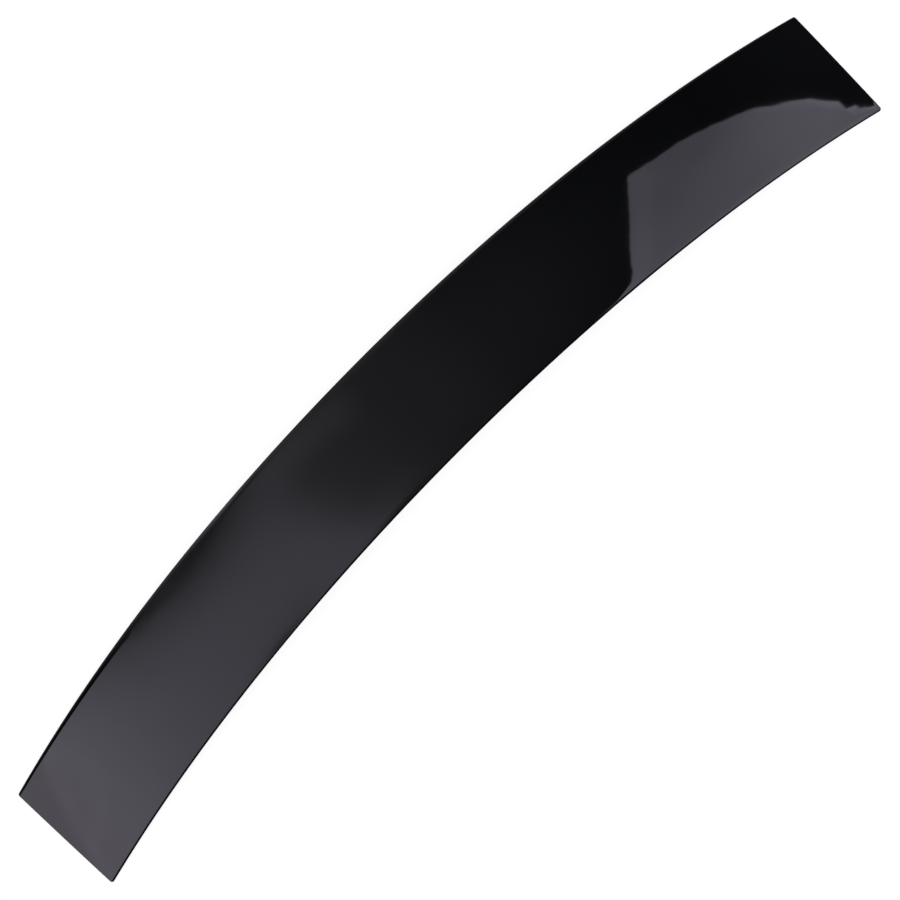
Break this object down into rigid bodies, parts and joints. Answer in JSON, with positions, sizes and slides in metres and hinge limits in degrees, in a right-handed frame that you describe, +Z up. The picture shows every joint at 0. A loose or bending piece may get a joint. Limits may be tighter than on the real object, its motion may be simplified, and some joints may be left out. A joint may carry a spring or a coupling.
{
  "type": "trunk spoiler",
  "caption": "Thin gloss black trunk spoiler panel, bowed in plan and crowned both ways, with a turned-down rim, taped over the rear edge of a car's body.",
  "frame": {"origin": "middle of the footprint, on the surface that the panel lies on", "axes": "+X across the car, along the panel; +Y towards the bowed front edge; +Z up, out of the glossy show side"},
  "size_m": [1.0998, 0.1914, 0.055],
  "materials": {
    "gloss_black": "piano black high gloss on the show side, satin moulded plastic underneath"
  },
  "bodies": {
    "root": {"spoiler_panel": "gloss_black"}
  },
  "joints": []
}
